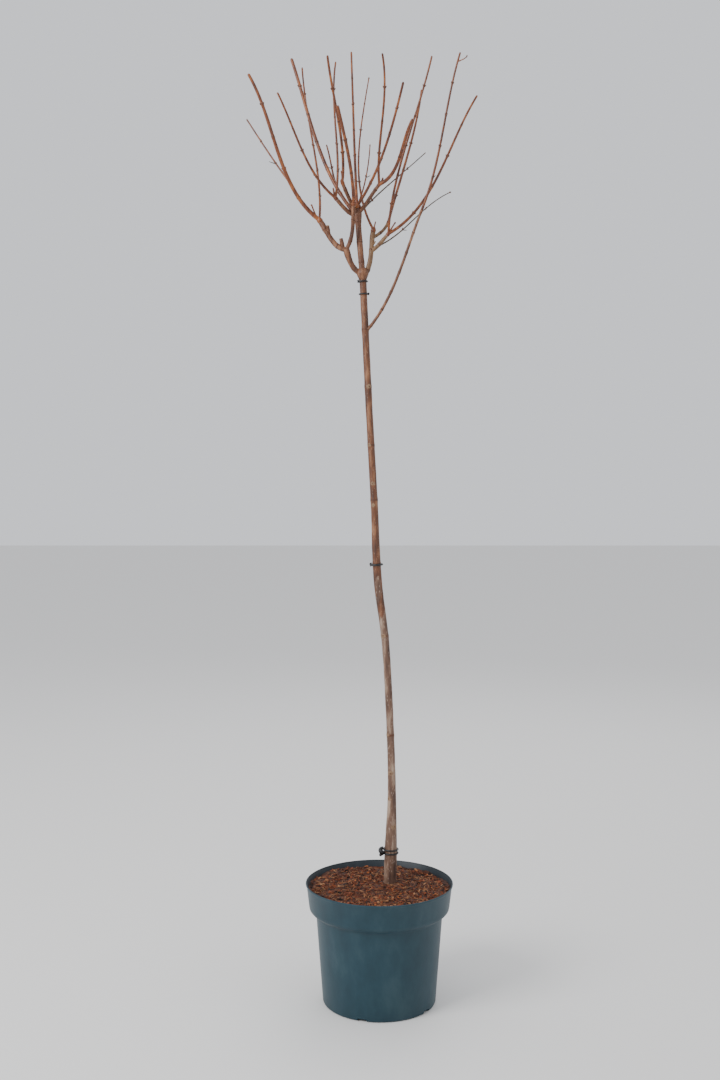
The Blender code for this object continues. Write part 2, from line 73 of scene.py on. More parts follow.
# %% Floor, lamps and world
FLOOR_SIZE = 30.0
FLOOR_DROP = 0.0005
FLOOR_COLOR = (0.80, 0.79, 0.77, 1.0)
FLOOR_ROUGHNESS = 0.9
# Each lamp has a name, a place, a size and a power in watts.
LAMPS = (
    ("key", (-2.4, -1.8, 2.4), 1.6, 95.0),
    ("fill", (2.4, -1.6, 1.8), 2.2, 8.0),
    ("back", (0.6, 2.4, 2.6), 2.0, 22.0),
)
LAMP_TARGET = Vector((0.0, 0.0, 0.9))
SKY_COLOR = (0.93, 0.95, 1.0, 1.0)
SKY_STRENGTH = 0.95

bpy.ops.mesh.primitive_plane_add(size=FLOOR_SIZE, location=(0, 0, -FLOOR_DROP))
floor = bpy.context.object
floor.name = "floor"
floor_finish = bpy.data.materials.new("floor")
floor_finish.use_nodes = True
floor_shader = floor_finish.node_tree.nodes["Principled BSDF"]
floor_shader.inputs["Base Color"].default_value = FLOOR_COLOR
floor_shader.inputs["Roughness"].default_value = FLOOR_ROUGHNESS
floor.data.materials.append(floor_finish)

for name, place, size, power in LAMPS:
    bpy.ops.object.light_add(type="AREA", location=place)
    lamp = bpy.context.object
    lamp.name = name
    lamp.data.size = size
    lamp.data.energy = power
    lamp.rotation_euler = (LAMP_TARGET - lamp.location).to_track_quat("-Z", "Y").to_euler()

world = bpy.data.worlds.new("pale sky")
bpy.context.scene.world = world
world.use_nodes = True
world.node_tree.nodes["Background"].inputs["Color"].default_value = SKY_COLOR
world.node_tree.nodes["Background"].inputs["Strength"].default_value = SKY_STRENGTH
print("lamps", len(LAMPS))

# %% [markdown]
# Bark and plastic finishes. Each is a Principled shader whose colour runs between two or three
# tones by noise on Object coordinates, with a fine bump. They could be wired one by one, but
# one function wires them all, because they differ only in their numbers.

# %% A function for finishes
PATCH_DETAIL = 6.0
PATCH_ROUGHNESS = 0.62
DARK_END = 0.34
MIDDLE_TONE = 0.52
PALE_START = 0.68
FLECK_CORE = 0.4
FINE_DETAIL = 5.0
RELIEF_DEPTH = 0.0005


def finish(name, tones, scale, stretch, roughness, bump, bump_scale, spots=None):
    """A material whose tones vary by noise; spots adds small flecks of one more colour."""
    material = bpy.data.materials.new(name)
    material.use_nodes = True
    nodes = material.node_tree.nodes
    links = material.node_tree.links
    shader = nodes["Principled BSDF"]
    place = nodes.new("ShaderNodeTexCoord")
    mapping = nodes.new("ShaderNodeMapping")
    mapping.inputs["Scale"].default_value = stretch
    links.new(place.outputs["Object"], mapping.inputs["Vector"])
    patches = nodes.new("ShaderNodeTexNoise")
    patches.inputs["Scale"].default_value = scale
    patches.inputs["Detail"].default_value = PATCH_DETAIL
    patches.inputs["Roughness"].default_value = PATCH_ROUGHNESS
    links.new(mapping.outputs["Vector"], patches.inputs["Vector"])
    ramp = nodes.new("ShaderNodeValToRGB")
    ramp.color_ramp.elements[0].position = DARK_END
    ramp.color_ramp.elements[1].position = PALE_START
    ramp.color_ramp.elements[0].color = (*tones[0], 1.0)
    ramp.color_ramp.elements[1].color = (*tones[-1], 1.0)
    if len(tones) > 2:
        middle = ramp.color_ramp.elements.new(MIDDLE_TONE)
        middle.color = (*tones[1], 1.0)
    links.new(patches.outputs["Fac"], ramp.inputs["Fac"])
    color = ramp.outputs["Color"]
    if spots:
        spot_color, spot_scale, spot_size = spots
        cells = nodes.new("ShaderNodeTexVoronoi")
        cells.inputs["Scale"].default_value = spot_scale
        links.new(mapping.outputs["Vector"], cells.inputs["Vector"])
        edge = nodes.new("ShaderNodeMapRange")
        edge.inputs["From Min"].default_value = spot_size
        edge.inputs["From Max"].default_value = spot_size * FLECK_CORE
        links.new(cells.outputs["Distance"], edge.inputs["Value"])
        blend = nodes.new("ShaderNodeMix")
        blend.data_type = "RGBA"
        blend.inputs["B"].default_value = (*spot_color, 1.0)
        links.new(edge.outputs["Result"], blend.inputs["Factor"])
        links.new(color, blend.inputs["A"])
        color = blend.outputs["Result"]
    links.new(color, shader.inputs["Base Color"])
    shader.inputs["Roughness"].default_value = roughness
    fine = nodes.new("ShaderNodeTexNoise")
    fine.inputs["Scale"].default_value = bump_scale
    fine.inputs["Detail"].default_value = FINE_DETAIL
    links.new(mapping.outputs["Vector"], fine.inputs["Vector"])
    relief = nodes.new("ShaderNodeBump")
    relief.inputs["Strength"].default_value = bump
    relief.inputs["Distance"].default_value = RELIEF_DEPTH
    links.new(fine.outputs["Fac"], relief.inputs["Height"])
    links.new(relief.outputs["Normal"], shader.inputs["Normal"])
    return material


# %% [markdown]
# The bark's tones. Bark greys and flakes as it ages, so the foot of the stem is the palest and
# roughest, the boughs are smoother, and the shoots are orange brown. On all of these the
# pattern is stretched up the limb, as real bark is. Rings, buds, cuts and scars are even.

# %% Bark finishes
ALONG = (1.0, 1.0, 0.22)
EVEN = (1.0, 1.0, 1.0)
stem_finish = finish(
    "old bark", ((0.060, 0.028, 0.018), (0.150, 0.080, 0.050), (0.360, 0.255, 0.185)), 95, ALONG,
    0.62, 0.55, 700, ((0.36, 0.27, 0.21), 420, 0.24),
)
upper_finish = finish(
    "smooth bark", ((0.050, 0.016, 0.007), (0.130, 0.044, 0.016), (0.280, 0.125, 0.058)), 120,
    ALONG, 0.52, 0.40, 800, ((0.33, 0.22, 0.15), 520, 0.18),
)
tan_finish = finish(
    "olive tan bark", ((0.120, 0.058, 0.024), (0.250, 0.138, 0.062)), 140,
    ALONG, 0.55, 0.35, 800, ((0.30, 0.23, 0.14), 560, 0.18),
)
shoot_finish = finish(
    "shoot bark", ((0.060, 0.013, 0.004), (0.165, 0.040, 0.008), (0.320, 0.098, 0.020)), 110,
    ALONG, 0.42, 0.30, 900, ((0.42, 0.24, 0.13), 700, 0.16),
)
twig_finish = finish(
    "thin twig", ((0.040, 0.028, 0.016), (0.110, 0.062, 0.030)), 160, ALONG, 0.60, 0.35, 900
)
node_finish = finish(
    "node bark", ((0.058, 0.018, 0.007), (0.125, 0.040, 0.014)), 260, EVEN, 0.60, 0.45, 900
)
bud_finish = finish(
    "bud scales", ((0.075, 0.022, 0.008), (0.190, 0.060, 0.018)), 500, EVEN, 0.50, 0.50, 1500
)
cut_finish = finish(
    "cut wood", ((0.200, 0.120, 0.060), (0.360, 0.250, 0.150)), 600, EVEN, 0.80, 0.40, 1500
)
scar_finish = finish(
    "bud scar", ((0.150, 0.085, 0.045), (0.300, 0.190, 0.110)), 420, EVEN, 0.70, 0.45, 1200
)
print("finishes", len(bpy.data.materials))

# %% [markdown]
# The rule for a limb. A limb is one smooth sweep from its foot to its tip, which leaves and
# arrives at its own lean. It could be drawn by hand as a Bezier curve, but a rule keeps it the
# same as the limb inside the frame, so this piece fits where that one was.

# %% Sweep and swelling
BACK_AT_FOOT = 1.35
BACK_AT_TIP = 0.65


def sweep(foot, tip, lean, steps):
    """Points along a limb, evenly spaced in its own measure."""
    foot = Vector(foot)
    tip = Vector(tip)
    span = tip - foot
    back = span.y / max(span.z, 0.001)
    start = Vector((math.tan(math.radians(lean[0])), BACK_AT_FOOT * back, 1.0)).normalized()
    end = Vector((math.tan(math.radians(lean[1])), BACK_AT_TIP * back, 1.0)).normalized()
    start *= span.length
    end *= span.length
    points = []
    for step in range(steps + 1):
        t = step / steps
        points.append(
            foot * (2 * t**3 - 3 * t**2 + 1)
            + start * (t**3 - 2 * t**2 + t)
            + tip * (3 * t**2 - 2 * t**3)
            + end * (t**3 - t**2)
        )
    return points


def bump(distance, reach):
    """One at no distance, falling smoothly to nothing past the reach."""
    return math.exp(-2.0 * (distance / reach) ** 2)


print("limb rule ready")

# %% [markdown]
# Tubes. Every limb, bud and fibre is a closed tube that gets thicker and thinner along its
# line. Each could be its own mesh, but one bevelled curve holds many lines at once and becomes
# a mesh in one step, which is far quicker for hundreds of them.

# %% Tubes
WELD = 0.00001


def bundle(name, lines, roundness):
    """Closed tubes along lines of points with a radius at each, made from one bevelled curve."""
    curve = bpy.data.curves.new(name, "CURVE")
    curve.dimensions = "3D"
    curve.bevel_depth = 1.0
    curve.bevel_resolution = roundness
    curve.use_fill_caps = True
    for points, radii in lines:
        spline = curve.splines.new("POLY")
        spline.points.add(len(points) - 1)
        for point, place, radius in zip(spline.points, points, radii):
            point.co = (*place, 1.0)
            point.radius = radius
    piece = bpy.data.objects.new(name, curve)
    bpy.context.scene.collection.objects.link(piece)
    bpy.ops.object.select_all(action="DESELECT")
    bpy.context.view_layer.objects.active = piece
    piece.select_set(True)
    bpy.ops.object.convert(target="MESH")
    piece = bpy.context.object
    bpy.ops.object.mode_set(mode="EDIT")
    bpy.ops.mesh.select_all(action="SELECT")
    bpy.ops.mesh.remove_doubles(threshold=WELD)
    bpy.ops.mesh.normals_make_consistent(inside=False)
    bpy.ops.object.mode_set(mode="OBJECT")
    return piece


def tube(name, points, radii, roundness):
    """One closed tube."""
    return bundle(name, [(points, radii)], roundness)


print("tube maker ready")

# %% [markdown]
# Finishing a piece. Paint gives faces their materials by place, roughen raises the ridges of
# bark in the mesh itself, so that they show from all sides, join makes one piece of several,
# and settle smooths the piece, hangs it on the root body and hides the frame's nodes that it
# replaces.

# %% Paint, roughen, join and settle
RIDGE_STRETCH = 0.16
FINE_SHARE = 0.5
FINE_GRAIN = 2.3
SMOOTH_ANGLE = 50


def paint(piece, materials, choose):
    """Give each face the material whose number the rule picks from the face's middle."""
    piece.data.materials.clear()
    for material in materials:
        piece.data.materials.append(material)
    for face in piece.data.polygons:
        face.material_index = choose(face.center)


def all_over(number):
    """A rule for paint that picks the same material everywhere."""
    return lambda place: number


def roughen(piece, depth, grain):
    """Raise and sink the bark along its normals, in ridges that run up the limb."""
    for vert in piece.data.vertices:
        across = (vert.co.x * grain, vert.co.y * grain)
        spot = Vector((*across, vert.co.z * grain * RIDGE_STRETCH))
        height = noise.noise(spot) + FINE_SHARE * noise.noise(spot * FINE_GRAIN)
        vert.co += vert.normal * depth * height


def join(name, pieces):
    """Join several meshes into one piece."""
    bpy.ops.object.select_all(action="DESELECT")
    for piece in pieces:
        piece.select_set(True)
    bpy.context.view_layer.objects.active = pieces[0]
    if len(pieces) > 1:
        bpy.ops.object.join()
    joined = bpy.context.view_layer.objects.active
    joined.name = name
    joined.data.name = name
    return joined


def settle(piece, slot, *nodes):
    """Shade a finished piece smooth, hang it on the root body and hide the frame's nodes that it
    replaces.
    """
    bpy.ops.object.select_all(action="DESELECT")
    bpy.context.view_layer.objects.active = piece
    piece.select_set(True)
    bpy.ops.object.shade_smooth_by_angle(angle=math.radians(SMOOTH_ANGLE))
    piece.select_set(False)
    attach(piece, "root")
    if nodes:
        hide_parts(*nodes)
    print(piece.name, len(piece.data.polygons), "faces")


# %% [markdown]
# The stem. It is a thin trunk that sways to the right low down and leans left above, with a
# root flare, a ring at each old node and a swollen fork where the crown begins. Its stations
# are the frame's own, and a smooth curve joins them.

# %% Stem stations
# Each station is a height, a sway to the right and a girth across.
STEM = (
    (0.199, 0.0190, 0.0225),
    (0.265, 0.0206, 0.0213),
    (0.345, 0.0221, 0.0153),
    (0.420, 0.0210, 0.0134),
    (0.530, 0.0165, 0.0129),
    (0.630, 0.0100, 0.0131),
    (0.735, -0.0030, 0.0142),
    (0.865, -0.0090, 0.0126),
    (1.030, -0.0180, 0.0121),
    (1.266, -0.0295, 0.0120),
)
STEM_BACK = (0.0220, 0.0050)
STEM_NODES = (0.462, 0.636, 0.761, 0.872, 0.966, 1.066, 1.163)
NODE_SWELL = 0.0009
NODE_LENGTH = 0.006
FORK_HEIGHT = 1.258
FORK_SWELL = 0.0044
FORK_LENGTH = 0.011


def stem_value(height, column):
    """Sway or girth of the stem at a height."""
    last = len(STEM) - 1
    index = 0
    while index < last - 1 and height > STEM[index + 1][0]:
        index += 1
    low, start = STEM[index][0], STEM[index][column]
    high, end = STEM[index + 1][0], STEM[index + 1][column]
    before = STEM[max(index - 1, 0)]
    after = STEM[min(index + 2, last)]
    slope_in = (end - before[column]) / (high - before[0])
    slope_out = (after[column] - start) / (after[0] - low)
    rise = high - low
    t = (height - low) / rise
    return (
        start * (2 * t**3 - 3 * t**2 + 1)
        + slope_in * rise * (t**3 - 2 * t**2 + t)
        + end * (3 * t**2 - 2 * t**3)
        + slope_out * rise * (t**3 - t**2)
    )


def stem_point(height):
    """Centre of the stem at a height."""
    share = (height - STEM[0][0]) / (STEM[-1][0] - STEM[0][0])
    back = STEM_BACK[0] + (STEM_BACK[1] - STEM_BACK[0]) * share
    return Vector((stem_value(height, 1), back, height))


def stem_radius(height):
    """Radius of the stem at a height, with its nodes and its fork."""
    girth = stem_value(height, 2)
    for node in STEM_NODES:
        girth += NODE_SWELL * bump(height - node, NODE_LENGTH)
    return girth / 2 + FORK_SWELL * bump(height - FORK_HEIGHT, FORK_LENGTH)


print("stem", STEM[0][0], "to", STEM[-1][0])

# %% [markdown]
# The stem's bark. Lost buds leave pale oval scars with a dark heart, each old node is a dark
# ring, and the greyer bark of the foot gives way to smoother bark higher up. They could be a
# painted picture, but ridges and scars raised on a dense tube also hold in side light.

# %% Stem
CLEAR = 0.0003
STEM_SPACING = 0.0018
STEM_ROUNDNESS = 10
STEM_RIDGE = 0.00028
STEM_GRAIN = 240
# Each scar is a height, a heading in degrees, a half width and a half height.
STEM_SCARS = (
    (0.462, 205, 0.0050, 0.0030),
    (0.636, 240, 0.0056, 0.0034),
    (0.863, 250, 0.0040, 0.0030),
    (0.900, 262, 0.0044, 0.0034),
    (0.966, 235, 0.0040, 0.0024),
    (1.066, 285, 0.0048, 0.0036),
    (0.395, 250, 0.0056, 0.0040),
    (0.350, 215, 0.0060, 0.0036),
    (0.300, 300, 0.0052, 0.0044),
)
OFF_SCAR = 2.0
SCAR_HEART_SIZE = 0.28
SCAR_RISE = 0.0005
HEART_SINK = 0.0009
NODE_RING_HALF = 0.0016
OLD_BARK_TOP = 0.70
OLD_BARK_FRAY = 0.12
FRAY_GRAIN = (90, 90, 22)
LOWER_BARK, UPPER_BARK, SCAR, SCAR_HEART, NODE_RING = range(5)


def scar_at(place):
    """How near a point on the stem lies to the middle of a scar, 0 to 1, or 2 when off all."""
    centre = stem_point(place.z)
    heading = math.atan2(place.y - centre.y, place.x - centre.x)
    nearest = OFF_SCAR
    for height, angle, width, tall in STEM_SCARS:
        turn = (heading - math.radians(angle) + math.pi) % math.tau - math.pi
        across = turn * stem_radius(height) / width
        up = (place.z - height) / tall
        nearest = min(nearest, math.hypot(across, up))
    return nearest if nearest < 1.0 else OFF_SCAR


def stem_tone(place):
    """Scar, dark heart of a scar, node ring, lower bark or upper bark at a place."""
    near = scar_at(place)
    if near < SCAR_HEART_SIZE:
        return SCAR_HEART
    if near < 1.0:
        return SCAR
    if any(abs(place.z - node) < NODE_RING_HALF for node in STEM_NODES):
        return NODE_RING
    fray = noise.noise(Vector([value * grain for value, grain in zip(place, FRAY_GRAIN)]))
    return LOWER_BARK if place.z < OLD_BARK_TOP + OLD_BARK_FRAY * fray else UPPER_BARK


stem_steps = round((STEM[-1][0] - STEM[0][0]) / STEM_SPACING)
stem_start = STEM[0][0] + CLEAR
stem_rise = STEM[-1][0] - STEM[0][0] - CLEAR
stem_heights = [stem_start + stem_rise * step / stem_steps for step in range(stem_steps + 1)]
stem_line = [stem_point(height) for height in stem_heights]
stem_radii = [stem_radius(height) for height in stem_heights]
stem = tube("stem_bark", stem_line, stem_radii, STEM_ROUNDNESS)
roughen(stem, STEM_RIDGE, STEM_GRAIN)
for vert in stem.data.vertices:
    near = scar_at(vert.co)
    if near < 1.0:
        sink = HEART_SINK if near < SCAR_HEART_SIZE else 0.0
        vert.co += vert.normal * (SCAR_RISE * (1.0 - near) - sink)
paint(stem, (stem_finish, upper_finish, scar_finish, node_finish, node_finish), stem_tone)
settle(stem, "stem_bark", "stem")

# %% [markdown]
# The boughs. Short, knuckled limbs fork from the head of the stem, where the crown was cut back
# each year. Each is its own sweep with low swellings at its old nodes, and some are thicker
# near their ends, where the last year's shoots crowd.

# %% Bough sizes
# Each bough has a foot, a tip, a lean at each end in degrees and a girth at each end.
BOUGHS = {
    "leader": ((-0.0297, 0.0050, 1.2600), (-0.0382, 0.0050, 1.3660), (-5, -3), (0.0104, 0.0100)),
    "left_bough": (
        (-0.0295, 0.0050, 1.2580), (-0.0575, 0.0000, 1.2995), (-86, -14), (0.0095, 0.0090)),
    "left_outer_bough": (
        (-0.0570, 0.0000, 1.2970), (-0.1000, 0.0060, 1.3440), (-86, -33), (0.0092, 0.0084)),
    "left_inner_bough": (
        (-0.0570, 0.0000, 1.2970), (-0.0445, -0.0200, 1.3660), (35, 3), (0.0070, 0.0066)),
    "right_bough": (
        (-0.0295, 0.0050, 1.2500), (-0.0115, 0.0120, 1.3280), (43, 10), (0.0090, 0.0076)),
    "right_outer_bough": (
        (-0.0140, 0.0095, 1.2970), (0.0115, 0.0025, 1.3205), (65, 44), (0.0072, 0.0062)),
    "right_inner_bough": (
        (-0.0125, 0.0110, 1.3190), (0.0135, 0.0230, 1.3450), (62, 22), (0.0056, 0.0050)),
    "upper_left_bough": (
        (-0.0380, 0.0050, 1.3540), (-0.0720, -0.0055, 1.3790), (-80, -42), (0.0074, 0.0068)),
    "upper_front_bough": (
        (-0.0382, 0.0050, 1.3555), (-0.0615, -0.0290, 1.3990), (-32, -23), (0.0066, 0.0062)),
    "upper_right_bough": (
        (-0.0382, 0.0050, 1.3580), (-0.0040, -0.0155, 1.3990), (50, 39), (0.0064, 0.0060)),
    "low_bough": (
        (-0.0265, 0.0060, 1.1560), (0.0697, -0.0320, 1.3570), (44, 22), (0.0054, 0.0044)),
}
KNUCKLE_SWELL = {
    "leader": 0.0022, "left_bough": 0.0012, "left_outer_bough": 0.0008, "right_bough": 0.0006,
}
KNUCKLE_REACH = 0.016
BOUGH_SPACING = 0.0016
BOUGH_LEAST_STEPS = 6
BOUGH_NODE = 0.034
BOUGH_NODE_SWELL = 0.0004
BOUGH_NODE_LENGTH = 0.0035


def bough_line(name):
    """Points and radii of a bough, with a low swelling at each of its old nodes."""
    foot, tip, lean, girth = BOUGHS[name]
    length = (Vector(tip) - Vector(foot)).length
    steps = max(BOUGH_LEAST_STEPS, round(length / BOUGH_SPACING))
    points = sweep(foot, tip, lean, steps)
    swell = KNUCKLE_SWELL.get(name, 0.0)
    radii = []
    for step, point in enumerate(points):
        radius = (girth[0] + (girth[1] - girth[0]) * step / steps) / 2
        radius += swell * bump((Vector(tip) - point).length - KNUCKLE_REACH / 2, KNUCKLE_REACH)
        from_node = (length * step / steps) % BOUGH_NODE - BOUGH_NODE / 2
        radius += BOUGH_NODE_SWELL * bump(from_node, BOUGH_NODE_LENGTH)
        radii.append(radius)
    return points, radii


print("boughs", len(BOUGHS))

# %% [markdown]
# Bark and cuts of the boughs. The stubs that were left by pruning are the spurs, and each ends
# in a pale face of cut wood. They are short tubes joined to their bough, and the paint rule
# finds the cut faces by their place, so no face is picked by hand.

# %% Boughs
BOUGH_ROUNDNESS = 6
BOUGH_RIDGE = 0.00022
BOUGH_GRAIN = 300
# Each spur has a foot, a tip and a girth.
SPURS = {
    "left_outer_bough": (
        ((-0.0625, 0.0000, 1.3000), (-0.0660, -0.0010, 1.3155), 0.0070),
        ((-0.0865, 0.0035, 1.3240), (-0.0885, -0.0040, 1.3365), 0.0062),
    ),
    "right_bough": (
        ((-0.0125, 0.0100, 1.3050), (-0.0070, 0.0080, 1.3125), 0.0026),
    ),
}
SPUR_ROUNDNESS = 5
SPUR_STEPS = 8
SPUR_SWELL = 0.12
SPUR_SWELL_STEPS = 2
SPUR_TAPER = 0.10
CUT_DEPTH = 0.0002
CUT_REACH = 0.006
BOUGH_RING_HALF = 0.0011
TAN_BOUGHS = ("right_bough", "right_outer_bough", "right_inner_bough")
PLAIN, CUT, RING = range(3)

for name in BOUGHS:
    points, radii = bough_line(name)
    pieces = [tube(name, points, radii, BOUGH_ROUNDNESS)]
    roughen(pieces[0], BOUGH_RIDGE, BOUGH_GRAIN)
    cuts = []
    for foot, tip, girth in SPURS.get(name, ()):
        foot = Vector(foot)
        tip = Vector(tip)
        spots = []
        widths = []
        for step in range(SPUR_STEPS + 1):
            swell = SPUR_SWELL * bump(step - SPUR_STEPS / 2, SPUR_SWELL_STEPS)
            spots.append(foot.lerp(tip, step / SPUR_STEPS))
            widths.append(girth / 2 * (1.0 + swell - SPUR_TAPER * step / SPUR_STEPS))
        pieces.append(tube("spur", spots, widths, SPUR_ROUNDNESS))
        cuts.append((tip, (tip - foot).normalized()))
    bough = join(name + "_bark", pieces)
    bark = tan_finish if name in TAN_BOUGHS else upper_finish

    def bough_tone(place, cuts=cuts, points=points):
        """Cut wood on the ends of spurs, dark bark at old nodes, and plain bark elsewhere."""
        for tip, along in cuts:
            if (place - tip).dot(along) > -CUT_DEPTH and (place - tip).length < CUT_REACH:
                return CUT
        walked = (place - points[0]).length % BOUGH_NODE
        return RING if abs(walked - BOUGH_NODE / 2) < BOUGH_RING_HALF else PLAIN

    paint(bough, (bark, cut_finish, node_finish), bough_tone)
    settle(bough, "bough_bark", name)

# %% [markdown]
# The shoots. Last year's growth stands up from the knuckles as long, straight, tapering rods,
# with a darker ring and a pair of buds every few centimetres, each pair across the one below.
# They grow by the frame's own rule, so the outline stays, and finer parts are added: rings,
# pointed buds, and thin dead spurs low down.

# %% Shoot sizes
# A mass stands on a bough. Each shoot has a tip, a lean at each end and a girth at each end.
TIP_MASSES = {
    "left_outer_shoots": ("left_outer_bough", (
        ((-0.2195, -0.0300, 1.5810), (-55, -31), (0.0074, 0.0050)),
        ((-0.1380, 0.1500, 1.6490), (3, -4), (0.0044, 0.0030)),
        ((-0.1165, 0.0040, 1.3740), (-50, -25), (0.0030, 0.0024)),
    )),
    "upper_left_shoots": ("upper_left_bough", (
        ((-0.1670, -0.0950, 1.5310), (-56, -28), (0.0048, 0.0033)),
        ((-0.0757, 0.0600, 1.6300), (9, 8), (0.0045, 0.0031)),
        ((-0.0790, -0.0080, 1.3990), (-25, -12), (0.0036, 0.0028)),
    )),
    "upper_front_shoots": ("upper_front_bough", (
        ((-0.0850, -0.1400, 1.5750), (9, -7), (0.0050, 0.0038)),
        ((-0.0650, -0.0340, 1.4210), (3, -14), (0.0036, 0.0026)),
    )),
    "inner_left_shoots": ("left_inner_bough", (
        ((-0.0695, -0.1250, 1.5015), (0, -15), (0.0058, 0.0052)),
    )),
    "leader_shoots": ("leader", (
        ((-0.0490, 0.1000, 1.6600), (-3, -2), (0.0052, 0.0035)),
        ((0.0425, 0.0900, 1.6045), (31, 13), (0.0051, 0.0045)),
        ((-0.0170, -0.0500, 1.4605), (27, 3), (0.0028, 0.0018)),
    )),
    "upper_right_shoots": ("upper_right_bough", (
        ((0.0018, -0.1200, 1.5850), (-8, -12), (0.0045, 0.0033)),
        ((0.0520, -0.0900, 1.4905), (71, 31), (0.0062, 0.0050)),
        ((0.0050, -0.0150, 1.4140), (45, 10), (0.0036, 0.0032)),
    )),
    "right_outer_shoots": ("right_outer_bough", (
        ((0.0840, -0.0650, 1.5990), (2, 13), (0.0044, 0.0032)),
        ((0.1670, 0.0300, 1.5635), (60, 32), (0.0054, 0.0036)),
        ((0.0270, -0.0010, 1.3430), (35, 42), (0.0032, 0.0022)),
    )),
    "right_inner_shoots": ("right_inner_bough", (
        ((0.0750, 0.0950, 1.5930), (14, 7), (0.0049, 0.0036)),
    )),
    "right_back_shoots": ("right_bough", (
        ((-0.0173, 0.1500, 1.6320), (-26, 9), (0.0046, 0.0020)),
        ((-0.0070, 0.0080, 1.3460), (15, 12), (0.0026, 0.0022)),
    )),
    "low_shoots": ("low_bough", (
        ((0.1300, -0.0700, 1.6030), (22, 17), (0.0044, 0.0032)),
    )),
}
# These masses leave the side of a bough, at the height given.
SIDE_MASSES = {
    "back_left_shoots": ("leader", 1.3530, (
        ((-0.1540, 0.0900, 1.6450), (-40, -18), (0.0066, 0.0056)),
    )),
    "upper_right_twig": ("leader", 1.3540, (
        ((0.0820, 0.0900, 1.4825), (32, 45), (0.0030, 0.0016)),
    )),
    "right_low_twig": ("right_outer_bough", 1.3035, (
        ((0.1255, 0.0650, 1.4085), (64, 65), (0.0028, 0.0016)),
    )),
}
# These shoots leave another shoot of their mass. The mass's name comes first, then the number
# of the shoot that bears them and the share of its points at which they leave.
SIDE_SHOOTS = (
    ("left_outer_shoots", 0, 0.30, (-0.2295, 0.0500, 1.5290), (-35, -32), (0.0036, 0.0026)),
    ("back_left_shoots", 0, 0.20, (-0.0920, 0.0650, 1.4895), (-20, -16), (0.0038, 0.0026)),
    ("low_shoots", 0, 0.94, (0.1410, -0.0780, 1.5960), (70, 20), (0.0022, 0.0014)),
)
print("masses", len(TIP_MASSES) + len(SIDE_MASSES))

# %% [markdown]
# Buds. A bud is small and pointed, a little narrower at its foot than above it, and it leans
# close to its shoot. Many of them are needed, so each is only a line of five points with a
# radius at each, and all of them become one mesh at the end.

# %% Bud
BUD_LENGTH = 0.0034
BUD_STRETCH = 1.15
BUD_WIDTH = 0.44
BUD_ANGLE = 26
# Each ring is a share of the bud's length and of its width.
BUD_RINGS = ((0.0, 0.50), (0.18, 0.64), (0.45, 0.60), (0.75, 0.36), (1.0, 0.05))


def bud(place, axis, outward, size):
    """A pointed bud that leans close to its shoot."""
    lift = math.radians(BUD_ANGLE)
    direction = axis * math.cos(lift) + outward * math.sin(lift)
    spots = [place + direction * size * BUD_STRETCH * share for share, _ in BUD_RINGS]
    return spots, [size * BUD_WIDTH * width for _, width in BUD_RINGS]


print("bud rings", len(BUD_RINGS))

# %% [markdown]
# One shoot. Its rod swells a little at each node and narrows just beside it. Each node carries
# two buds across from each other, a quarter turn from the pair below, and near the foot a dead
# spur may stand in a bud's place. Seeded draws vary them the same way on each run.

# %% One shoot
SHOOT_SPACING = 0.0022
SHOOT_LEAST_STEPS = 3
SHOOT_ROUNDNESS = 3
INTERNODE = 0.052
SHOOT_NODE_SWELL = 0.13
SHOOT_NODE_LENGTH = 0.0030
SHOOT_WAIST = 0.03
SHOOT_WAIST_AT = 0.006
TIP_WIDTH = 0.72
PAIR_SLACK = 0.15
BUD_SIZES = (0.85, 1.1)
BUD_SINK = 0.80
END_BUD_SINK = 0.004
END_BUD_SIZE = 0.9
DEAD_CHANCE = 0.45
DEAD_LENGTHS = (0.004, 0.011)
DEAD_LEAN = 0.5
DEAD_CURVE = 0.002
DEAD_RADII = (0.0009, 0.0008, 0.0007, 0.0006, 0.0004)


def dead_spur(place, axis, outward, reach):
    """A thin dead spur that curves up a little."""
    last = len(DEAD_RADII) - 1
    bend = (axis * DEAD_LEAN + outward).normalized()
    spots = []
    for step in range(len(DEAD_RADII)):
        rise = axis * DEAD_CURVE * (step / last) ** 2
        spots.append(place + bend * reach * step / last + rise)
    return spots, DEAD_RADII


